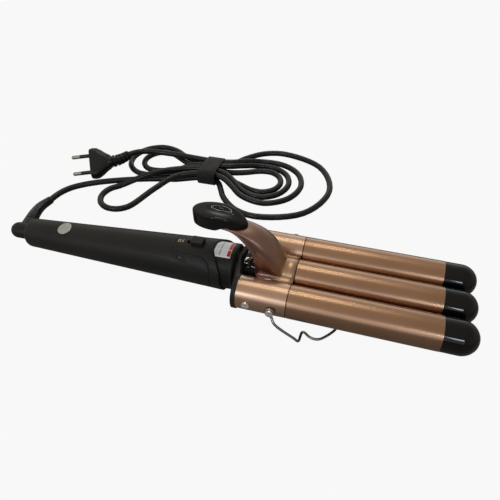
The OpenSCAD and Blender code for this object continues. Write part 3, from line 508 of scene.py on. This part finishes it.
# The bundle, measured from the point on the table under its strap.
TIE = (-125, 143, -24)
HANK = [
    (-34, -19.6, 3), (-22, -15.4, 3.56), (-11, -12.4, 4.29), (0, -12, 4.3), (12.66, -16.13, 4.25),
    (19, -25.88, 3.83), (25.9, -37.3, 3.24), (43.4, -52.6, 3), (66.27, -57.6, 3), (108.33, -41.26, 3),
    (126, 0, 3), (108.33, 41.26, 3), (66.27, 57.6, 3), (43.4, 52.6, 3), (25.9, 37.3, 3.24),
    (19, 25.88, 3.83), (12.66, 16.13, 4.25), (0, 12, 4.3), (-23.55, 15.51, 3.43), (-39.31, 24.06, 3),
    (-57.14, 34.68, 3), (-75.03, 36.96, 3), (-90.7, 28.05, 3), (-97.89, 11.51, 3), (-93.72, -6.03, 3),
    (-79.85, -17.55, 3), (-61.85, -18.45, 3), (-41.99, -11.67, 3), (-24.71, -6.23, 3.33), (0, -4, 4.3),
    (20.03, -6.09, 3.74), (33.9, -11.28, 3), (49.71, -17.93, 3), (61.59, -18.16, 3), (71.28, -11.29, 3),
    (75, 0, 3), (71.28, 11.29, 3), (61.59, 18.16, 3), (49.71, 17.93, 3), (33.9, 11.28, 3),
    (20.03, 6.09, 3.74), (0, 4, 4.3), (-23.06, 7.37, 3.47), (-38.53, 15.58, 3), (-56.04, 25.81, 3),
    (-67.66, 27.24, 3), (-77.83, 21.44, 3), (-82.52, 10.71, 3), (-79.88, -0.69, 3), (-70.94, -8.26, 3),
    (-59.26, -8.99, 3), (-40.21, -2.87, 3), (-23.63, 2.01, 8.6), (0, 4, 11.1), (17.69, 7.07, 10.73),
    (29.22, 14.54, 8.63), (42.12, 23.85, 4.91), (60.73, 27.19, 3), (77.12, 17.77, 3), (83.6, 0, 3),
    (77.12, -17.77, 3), (60.73, -27.19, 3), (42.12, -23.85, 4.91), (29.22, -14.54, 8.63),
    (17.69, -7.07, 10.73), (0, -4, 11.1), (-35.92, -10.68, 9.8), (-59.16, -26.58, 9.8),
    (-85.62, -45.46, 3.27), (-93.75, -53.78, 3), (-95.88, -65.21, 3), (-91.29, -75.9, 3),
    (-81.53, -82.22, 3), (-69.9, -82.05, 3), (-60.33, -75.43, 3), (-44.74, -46.8, 7.75),
    (-30.26, -22.35, 9.82), (0, -12, 11.1), (18.03, -15.32, 10.71), (29.74, -23.18, 8.94),
    (43.15, -32.38, 5.18), (67.38, -35.75, 3), (88.3, -23.05, 3), (96.5, 0, 3), (88.3, 23.05, 3),
    (67.38, 35.75, 3), (43.15, 32.38, 5.18), (29.74, 23.18, 8.94), (18.03, 15.32, 10.71), (0, 12, 11.1),
    (-9, 12, 11.1), (-20, 13.5, 10.54), (-32, 15.2, 9.8),
]


def add_cord(attached):
    bundle = [(Vector(p) + Vector(TIE) + SEAM) * MM for p in HANK]
    route = from_seam(LEAD) + bundle + from_seam(TO_PLUG)
    line = [Vector((p.x, p.y, max(p.z, CORD_DIAMETER / 2))) for p in catmull(route, 6)]
    cord = paint(sweep("mains_cord", line, CORD_DIAMETER / 2, 4), RUBBER)
    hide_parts("cord_lead", "cord_hank", "plug_lead")
    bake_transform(cord)


BOOT = [(-253.5, 3, -11.7), (-255, 9, -11.8), (-257, 15, -12.1), (-259.5, 22, -12.8), (-262, 29, -13.9),
        (-264.5, 36, -15.5), (-266.3, 43, -17.3), (-267.2, 50, -19.2), (-267.3, 56, -20.4)]
BOOT_ROOT_RADIUS = 6.3
BOOT_END_RADIUS = 3.9
BOOT_RIBS = 15
BOOT_GROOVE_DEPTH = 0.75
BOOT_GROOVE_SHARE = 0.42


def add_strain_relief():
    """Tapered sleeve with a plain root and fine ribs, ending in a small step round the cord."""
    line = catmull(from_seam(BOOT), 20)
    last = len(line) - 1
    radii = []
    for i in range(last + 1):
        u = i / last
        cut = BOOT_GROOVE_DEPTH if in_groove(u, 0.2, 0.965, BOOT_RIBS, BOOT_GROOVE_SHARE) else 0
        radii.append((BOOT_ROOT_RADIUS - (BOOT_ROOT_RADIUS - BOOT_END_RADIUS) * u - cut) * MM)
    boot = paint(sweep("ribbed_strain_relief", line, radii, 5), RUBBER)
    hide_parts("strain_relief")
    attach(boot, "swivel")
    return boot


PLUG_OUTLINE = [(-2, -6.9), (2.5, -9.8), (7.5, -14), (12, -16.9), (16.4, -17.3), (PLUG_FACE, -16.4),
                (PLUG_FACE, 16.4), (16.4, 17.3), (12, 16.9), (7.5, 14), (2.5, 9.8), (-2, 6.9)]
PLUG_THICKNESS = 13.7
PLUG_SIDE_RADIUS = 6.6
NECK_LENGTH = 23
NECK_BEND = math.radians(55)
NECK_ROOT_RADIUS = 6.8
NECK_END_RADIUS = 4.9
NECK_GROOVES = 5
NECK_GROOVE_DEPTH = 1.2
NECK_GROOVE_SHARE = 0.24
NECK_STEPS = 60


def add_plug_grip():
    """The moulded grip of a flat plug, round at its sides and cut square at its face."""
    bm = bmesh.new()
    low = -PLUG_THICKNESS / 2 * MM
    face = bm.faces.new([bm.verts.new((x * MM, y * MM, low)) for x, y in PLUG_OUTLINE])
    grown = bmesh.ops.extrude_face_region(bm, geom=[face])["geom"]
    bmesh.ops.translate(bm, vec=(0, 0, PLUG_THICKNESS * MM), verts=new_verts(grown))
    bmesh.ops.recalc_face_normals(bm, faces=bm.faces)
    sides = [e for e in bm.edges if abs(e.verts[0].co.z - e.verts[1].co.z) < 1e-6
             and min(v.co.x for v in e.verts) < (PLUG_FACE - 0.1) * MM]
    bmesh.ops.bevel(bm, geom=sides, offset=PLUG_SIDE_RADIUS * MM, segments=7, profile=0.5,
                    affect="EDGES", material=-1, clamp_overlap=True)
    bmesh.ops.transform(bm, matrix=PLUG @ PLUG_ROLL, verts=bm.verts)
    grip = paint(add_piece(mesh_of(bm, "plug_grip"), 180), RUBBER)
    round_edges(grip, 0.9, segments=3, angle=40)
    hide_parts("plug_body")
    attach(grip, "body")
    return grip


def add_plug_neck():
    """The bent, ringed neck behind the grip, which starts inside it."""
    bend_radius = NECK_LENGTH / NECK_BEND
    line, radii = [Vector((2.5, 0, 0)) * MM], [6.7 * MM]
    for i in range(NECK_STEPS + 1):
        u = i / NECK_STEPS
        a = NECK_BEND * u
        line.append(Vector((-bend_radius * math.sin(a), -bend_radius * (1 - math.cos(a)), 0)) * MM)
        cut = NECK_GROOVE_DEPTH if in_groove(u, 0.12, 1, NECK_GROOVES, NECK_GROOVE_SHARE) else 0
        radii.append((NECK_ROOT_RADIUS - (NECK_ROOT_RADIUS - NECK_END_RADIUS) * u - cut) * MM)
    neck = paint(sweep("plug_neck", [PLUG @ p for p in line], radii, 5), RUBBER)
    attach(neck, "body")
    return neck


STRAP_WIDTH = 18.4
STRAP_HALF_SPAN = 17.6
STRAP_HALF_HEIGHT = 6.55
STRAP_MIDDLE_HEIGHT = 7.75
STRAP_STEPS = 76
STRAP_STRIPS = 4

STRAP_THICKNESS = 1.0
STRAP_LIFT = 1.15

# In degrees round the bundle: where the strap starts, how far it goes, after how far its end climbs
# over the first turn, and how long that climb is.
STRAP_START = -150
STRAP_TURN = 456
STRAP_CLIMB = 344
STRAP_CLIMB_LENGTH = 26


def add_strap():
    """Hook-and-loop strap: once round the bundle, its end laid over itself on the near side."""
    bm = bmesh.new()
    centre = (Vector(TIE) + SEAM) * MM
    path = []
    for i in range(STRAP_STEPS + 1):
        gone = i / STRAP_STEPS * STRAP_TURN
        a = math.radians(STRAP_START - gone)
        over = min(max((gone - STRAP_CLIMB) / STRAP_CLIMB_LENGTH, 0), 1)
        lift = STRAP_LIFT * over * over * (3 - 2 * over)
        c, s = math.cos(a), math.sin(a)
        y = math.copysign(abs(c) ** 0.5, c) * (STRAP_HALF_SPAN + lift)
        z = STRAP_MIDDLE_HEIGHT + math.copysign(abs(s) ** 0.5, s) * (STRAP_HALF_HEIGHT + lift)
        narrow = 1 - 0.1 * over
        bow = 0.9 * math.sin(2.2 * a + 0.6)
        x = bow - STRAP_WIDTH / 2 * narrow
        path.append(bm.verts.new((centre.x + x * MM, centre.y + y * MM, z * MM)))
    edges = [bm.edges.new(pair) for pair in zip(path, path[1:])]
    for _ in range(STRAP_STRIPS):
        grown = bmesh.ops.extrude_edge_only(bm, edges=edges)["geom"]
        edges = [g for g in grown if isinstance(g, bmesh.types.BMEdge)]
        bmesh.ops.translate(bm, vec=(STRAP_WIDTH / STRAP_STRIPS * MM, 0, 0), verts=new_verts(grown))
    bm.normal_update()
    bm.faces.ensure_lookup_table()
    first = bm.faces[len(path) // 4]
    middle = Vector((centre.x, centre.y, STRAP_MIDDLE_HEIGHT * MM))
    if first.normal.dot(first.calc_center_median() - middle) < 0:
        bmesh.ops.reverse_faces(bm, faces=bm.faces)
    strap = paint(add_piece(mesh_of(bm, "hook_and_loop_strap"), 60), STRAP)
    tape = strap.modifiers.new("tape", "SOLIDIFY")
    tape.thickness = STRAP_THICKNESS * MM
    tape.offset = 1.0
    round_edges(strap, 0.3, angle=50, harden=False)
    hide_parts("cord_tie")
    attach(strap, "body")
    return strap


add_cord([add_plug_grip(), add_plug_neck(), nodes["plug_pins"], add_strap(), add_strain_relief()])

# ---- wires ---------------------------------------------------------------------------------------

# Sizes of the spring's wire and coils, and of the stand's wire and eyes.
SPRING_WIRE = 1.0
COIL_RADIUS = 2.9
COIL_PITCH = 1.12
COIL_TURNS = 2.5
STEPS_PER_TURN = 20

STAND_WIRE = 2.0
STAND_EYE_RADIUS = 2.65
STAND_EYE_ARC = 268
STAND_EYE_STEPS = 8


def add_spring():
    """Double torsion spring: a leg, the coils and an arm on each side, in one wire."""
    x, y, z = -38, -3.05, 9
    side = [(-28, -5.85, 2.9), (-31.5, -5.85, 4.9), (-35, -5.85, 5.9)]
    for k in range(round(COIL_TURNS * STEPS_PER_TURN) + 1):
        turns = k / STEPS_PER_TURN
        a = -math.pi / 2 - math.tau * turns
        outward = COIL_PITCH * (COIL_TURNS - turns)
        side.append((x + COIL_RADIUS * math.cos(a), y - outward, z + COIL_RADIUS * math.sin(a)))
    side += [(-34, y, 12.7), (-28.8, y, 18.1), (-24.1, y, 23.7), (-23.2, -1.65, 25)]
    wire = side + [(x, -y, z) for x, y, z in reversed(side)]
    line = catmull(from_seam(wire), 2)
    spring = paint(sweep("lever_spring", line, SPRING_WIRE / 2 * MM, 3), CHROME)
    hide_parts("torsion_spring")
    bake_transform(spring)


def add_stand():
    """Folding stand: one bent wire with an open eye at each end and a wide foot loop."""
    lean = math.degrees(math.atan(23.5 / 22.5))
    x, y, z = -11, -40.9, 0.5
    side = []
    for k in range(STAND_EYE_STEPS + 1):
        a = math.radians(270 - lean - STAND_EYE_ARC * (1 - k / STAND_EYE_STEPS))
        side.append((x + STAND_EYE_RADIUS * math.cos(a), y, z + STAND_EYE_RADIUS * math.sin(a)))
    side += [
        (-9.8, -41.4, -4.3), (-6.8, -43.9, -8.3), (8.5, -43.9, -19.9), (10, -43.8, -21.5),
        (11.1, -43.1, -22.6), (11.5, -41.7, -23), (11.7, -37.7, -23), (12.1, -34.6, -23),
        (13.4, -34, -23), (14.9, -34.7, -23), (17.5, -36.6, -23), (21.1, -37.8, -23),
        (25.3, -37.1, -23), (30.1, -32.7, -23), (34.9, -25.9, -23), (38.5, -16.9, -23),
        (40.75, -7.9, -23), (41.5, 0, -23),
    ]
    wire = side + [(x, -y, z) for x, y, z in reversed(side[:-1])]
    line = catmull(from_seam(wire), 5)
    stand = paint(sweep("stand_wire", line, STAND_WIRE / 2 * MM, 4), WIRE)
    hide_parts("wire_stand")
    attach(stand, "stand")


add_spring()
add_stand()

# ---- housings with rounded edges -----------------------------------------------------------------


def merged(name):
    """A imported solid's mesh with its corners joined, ready to be changed."""
    bm = bmesh.new()
    bm.from_mesh(nodes[name].data)
    bmesh.ops.remove_doubles(bm, verts=bm.verts, dist=1e-6)
    return bm


def join_flats(bm):
    """Flat faces made one face each, so that a bevel meets only real edges."""
    bmesh.ops.dissolve_limit(bm, angle_limit=math.radians(0.5), verts=bm.verts, edges=bm.edges)


def soften(name, body, material, width):
    """A copy of a solid with rounded edges, in place of it."""
    bm = merged(name)
    join_flats(bm)
    piece = paint(add_piece(mesh_of(bm, name + "_finished"), 180), material)
    round_edges(piece, width)
    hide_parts(name)
    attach(piece, body)


def add_knob():
    """The slide switch's knob with its top grooves filled, as one rounded block."""
    bm = merged("switch_knob")
    back = HANDLE.inverted()
    top = max((back @ v.co).z for v in bm.verts)
    for v in bm.verts:
        place = back @ v.co
        if place.z > top - 0.6 * MM:
            v.co = HANDLE @ Vector((place.x, place.y, top))
    bmesh.ops.remove_doubles(bm, verts=bm.verts, dist=1e-6)
    join_flats(bm)
    knob = paint(add_piece(mesh_of(bm, "knob_block"), 180), BLACK)
    round_edges(knob, 1.3, segments=4)
    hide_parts("switch_knob")
    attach(knob, "knob")


def smooth_skin(name, body, material, levels, crease_angle, crease):
    """A skinned solid made of quads again and subdivided, with its sheet edges kept."""
    bm = merged(name)
    bmesh.ops.join_triangles(bm, faces=bm.faces, angle_face_threshold=math.radians(30),
                             angle_shape_threshold=math.radians(80))
    sharp = bm.edges.layers.float.new("crease_edge")
    for edge in bm.edges:
        if edge.calc_face_angle(0) > math.radians(crease_angle):
            edge[sharp] = crease
    piece = paint(add_piece(mesh_of(bm, name + "_finished"), 180), material)
    skin = piece.modifiers.new("smooth", "SUBSURF")
    skin.levels = skin.render_levels = levels
    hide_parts(name)
    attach(piece, body)


MARKS_BEHIND_FRONT = 38.2
MARK_HALF_HEIGHT = 1.7
MARK_STROKE = 0.5
MARK_THICKNESS = 0.16
MARK_SUNK = 0.12


def add_switch_marks():
    """The plain 0 and I printed behind the slide switch, bent to the handle's round."""
    bm = bmesh.new()
    ring = bmesh.ops.create_circle(bm, cap_ends=True, segments=28, radius=MARK_HALF_HEIGHT * MM)["verts"]
    bmesh.ops.scale(bm, vec=(0.74, 1, 1), verts=ring)
    bmesh.ops.inset_region(bm, faces=bm.faces, thickness=MARK_STROKE * MM, use_boundary=True)
    hole = min(bm.faces, key=lambda face: face.calc_center_median().length)
    bmesh.ops.delete(bm, geom=[hole], context="FACES_ONLY")
    bar = bmesh.ops.create_grid(bm, x_segments=1, y_segments=8, size=1)["verts"]
    bmesh.ops.scale(bm, vec=(0.3 * MM, MARK_HALF_HEIGHT * MM, 1), verts=bar)
    bmesh.ops.translate(bm, vec=(2.9 * MM, 0, 0), verts=bar)
    grown = bmesh.ops.extrude_face_region(bm, geom=bm.faces)["geom"]
    bmesh.ops.translate(bm, vec=(0, 0, MARK_THICKNESS * MM), verts=new_verts(grown))
    bmesh.ops.recalc_face_normals(bm, faces=bm.faces)
    radius = (HANDLE_FRONT_RADIUS - SWITCH_BEHIND_FRONT * math.tan(TAPER)) * MM
    for v in bm.verts:
        v.co.z -= v.co.y ** 2 / (2 * radius)
    place = HANDLE @ Matrix.Translation((-MARKS_BEHIND_FRONT * MM, 0, radius - MARK_SUNK * MM))
    bmesh.ops.transform(bm, matrix=place @ Matrix.Rotation(-TAPER, 4, "Y"), verts=bm.verts)
    marks = paint(add_piece(mesh_of(bm, "switch_marks")), MARK)
    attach(marks, "body")


for name, width in (("handle_upper_shell", 0.12), ("handle_lower_shell", 0.12), ("front_trim", 0.15),
                    ("ribbed_collar", 0.2), ("yoke", 0.4)):
    soften(name, "body", BLACK, width)
soften("swivel_body", "swivel", BLACK, 0.3)
soften("indicator_lens", "body", LENS, 0.6)
soften("badge_disc", "body", SILVER, 0.25)
soften("hinge_bracket", "lever", CHROME, 0.25)
smooth_skin("lever_plate", "lever", BRONZE_PAINTED_LIGHT, 1, 50, 0.75)
smooth_skin("thumb_pad", "lever", GLOSS, 2, 60, 0.85)
add_knob()
add_switch_marks()

# ---- studio --------------------------------------------------------------------------------------

# Name, place and size in metres, watts and tint of each light.
LIGHTS = [
    ("far_strip", (-0.1, 0.37, 1.29), (0.5, 0.025), 0.9, (0.95, 1.0, 0.92)),
    ("far_strip_low", (-0.1, 0.68, 1.15), (0.5, 0.025), 0.9, (0.95, 1.0, 0.92)),
    ("near_panel", (-0.2, -1.6, 0.72), (2.2, 0.8), 4.4, (0.88, 0.94, 1.0)),
    ("near_window", (0.6, -1.6, 1.06), (0.12, 0.26), 1.5, (0.84, 0.93, 1.0)),
    ("near_window_pane", (0.74, -1.6, 1.06), (0.05, 0.24), 0.55, (0.84, 0.93, 1.0)),
    ("near_window_left", (-0.58, -1.6, 1.06), (0.22, 0.24), 3.6, (0.84, 0.93, 1.0)),
]
LIGHT_AIM = Vector((0.08, 0, 0.03))

# Light of the surroundings from the near side (0) over the top (0.5) to the far side (1).
SKY = [(0.0, (0.2, 0.19, 0.2)), (0.06, (0.34, 0.33, 0.33)), (0.2, (0.62, 0.58, 0.55)),
       (0.5, (0.66, 0.58, 0.48)), (0.7, (0.62, 0.56, 0.47)), (0.86, (0.68, 0.64, 0.57)),
       (0.95, (0.95, 0.94, 0.9)), (1.0, (1.5, 1.7, 1.8))]
BACKDROP = (0.95, 0.95, 0.945)

# The share of plain white that each kind of ray sees in the floor. The rest is the lit floor.
FLOOR_WHITE = (("Is Camera Ray", 0.93), ("Is Glossy Ray", 0.06), ("Is Transmission Ray", 0.93))
FLOOR_TONE = (0.24, 0.232, 0.225)
FLOOR_DROP = 0.2 * MM


def area_light(name, place, size, watts, tint):
    data = bpy.data.lights.new(name, "AREA")
    data.shape = "RECTANGLE"
    data.size, data.size_y = size
    data.energy = watts
    data.color = tint
    light = bpy.data.objects.new(name, data)
    scene.collection.objects.link(light)
    light.location = place
    light.rotation_euler = (LIGHT_AIM - Vector(place)).to_track_quat("-Z", "Y").to_euler()


def math_node(tree, operation, a, b):
    """The result of a Math node on a socket and a second socket or number."""
    node = tree.nodes.new("ShaderNodeMath")
    node.operation = operation
    tree.links.new(a, node.inputs[0])
    if isinstance(b, float):
        node.inputs[1].default_value = b
    else:
        tree.links.new(b, node.inputs[1])
    return node.outputs[0]


def pale_floor():
    """A lit floor with shadows, seen nearly white by the camera and darker in reflections."""
    material = bpy.data.materials.new("pale_floor")
    material.use_nodes = True
    tree = material.node_tree
    tree.nodes.clear()
    lit = tree.nodes.new("ShaderNodeBsdfDiffuse")
    lit.inputs["Color"].default_value = (*FLOOR_TONE, 1)
    white = tree.nodes.new("ShaderNodeEmission")
    white.inputs["Color"].default_value = (1, 1, 1, 1)
    path = tree.nodes.new("ShaderNodeLightPath")
    parts = [math_node(tree, "MULTIPLY", path.outputs[ray], part) for ray, part in FLOOR_WHITE]
    share = math_node(tree, "MAXIMUM", math_node(tree, "MAXIMUM", parts[0], parts[1]), parts[2])
    mix = tree.nodes.new("ShaderNodeMixShader")
    out = tree.nodes.new("ShaderNodeOutputMaterial")
    tree.links.new(share, mix.inputs["Fac"])
    tree.links.new(lit.outputs[0], mix.inputs[1])
    tree.links.new(white.outputs[0], mix.inputs[2])
    tree.links.new(mix.outputs[0], out.inputs["Surface"])
    return material


def add_floor():
    bm = bmesh.new()
    bmesh.ops.create_grid(bm, x_segments=1, y_segments=1, size=3.0)
    mesh = mesh_of(bm, "floor")
    mesh.materials.append(pale_floor())
    floor = bpy.data.objects.new("floor", mesh)
    floor.location.z = -FLOOR_DROP
    scene.collection.objects.link(floor)


def add_sky():
    """Surroundings that are brighter behind and to the left, and plain to the camera."""
    world = bpy.data.worlds.new("studio")
    scene.world = world
    world.use_nodes = True
    tree = world.node_tree
    tree.nodes.clear()
    link = tree.links.new
    where = tree.nodes.new("ShaderNodeTexCoord")
    split = tree.nodes.new("ShaderNodeSeparateXYZ")
    link(where.outputs["Generated"], split.inputs[0])
    depth = tree.nodes.new("ShaderNodeMapRange")
    depth.inputs["From Min"].default_value = -1.0
    depth.inputs["From Max"].default_value = 1.0
    link(split.outputs["Y"], depth.inputs["Value"])
    side = tree.nodes.new("ShaderNodeMapRange")
    side.interpolation_type = "SMOOTHSTEP"
    side.inputs["From Min"].default_value = -0.4
    side.inputs["From Max"].default_value = 0.5
    side.inputs["To Min"].default_value = 1.0
    side.inputs["To Max"].default_value = 0.62
    link(split.outputs["X"], side.inputs["Value"])
    around = tree.nodes.new("ShaderNodeBackground")
    link(colour_ramp(tree, depth.outputs["Result"], SKY), around.inputs["Color"])
    link(side.outputs["Result"], around.inputs["Strength"])
    plain = tree.nodes.new("ShaderNodeBackground")
    plain.inputs["Color"].default_value = (*BACKDROP, 1)
    path = tree.nodes.new("ShaderNodeLightPath")
    seen = tree.nodes.new("ShaderNodeMixShader")
    out = tree.nodes.new("ShaderNodeOutputWorld")
    link(path.outputs["Is Camera Ray"], seen.inputs["Fac"])
    link(around.outputs[0], seen.inputs[1])
    link(plain.outputs[0], seen.inputs[2])
    link(seen.outputs[0], out.inputs["Surface"])


add_floor()
add_sky()
for light in LIGHTS:
    area_light(*light)
scene.view_settings.view_transform = "Standard"
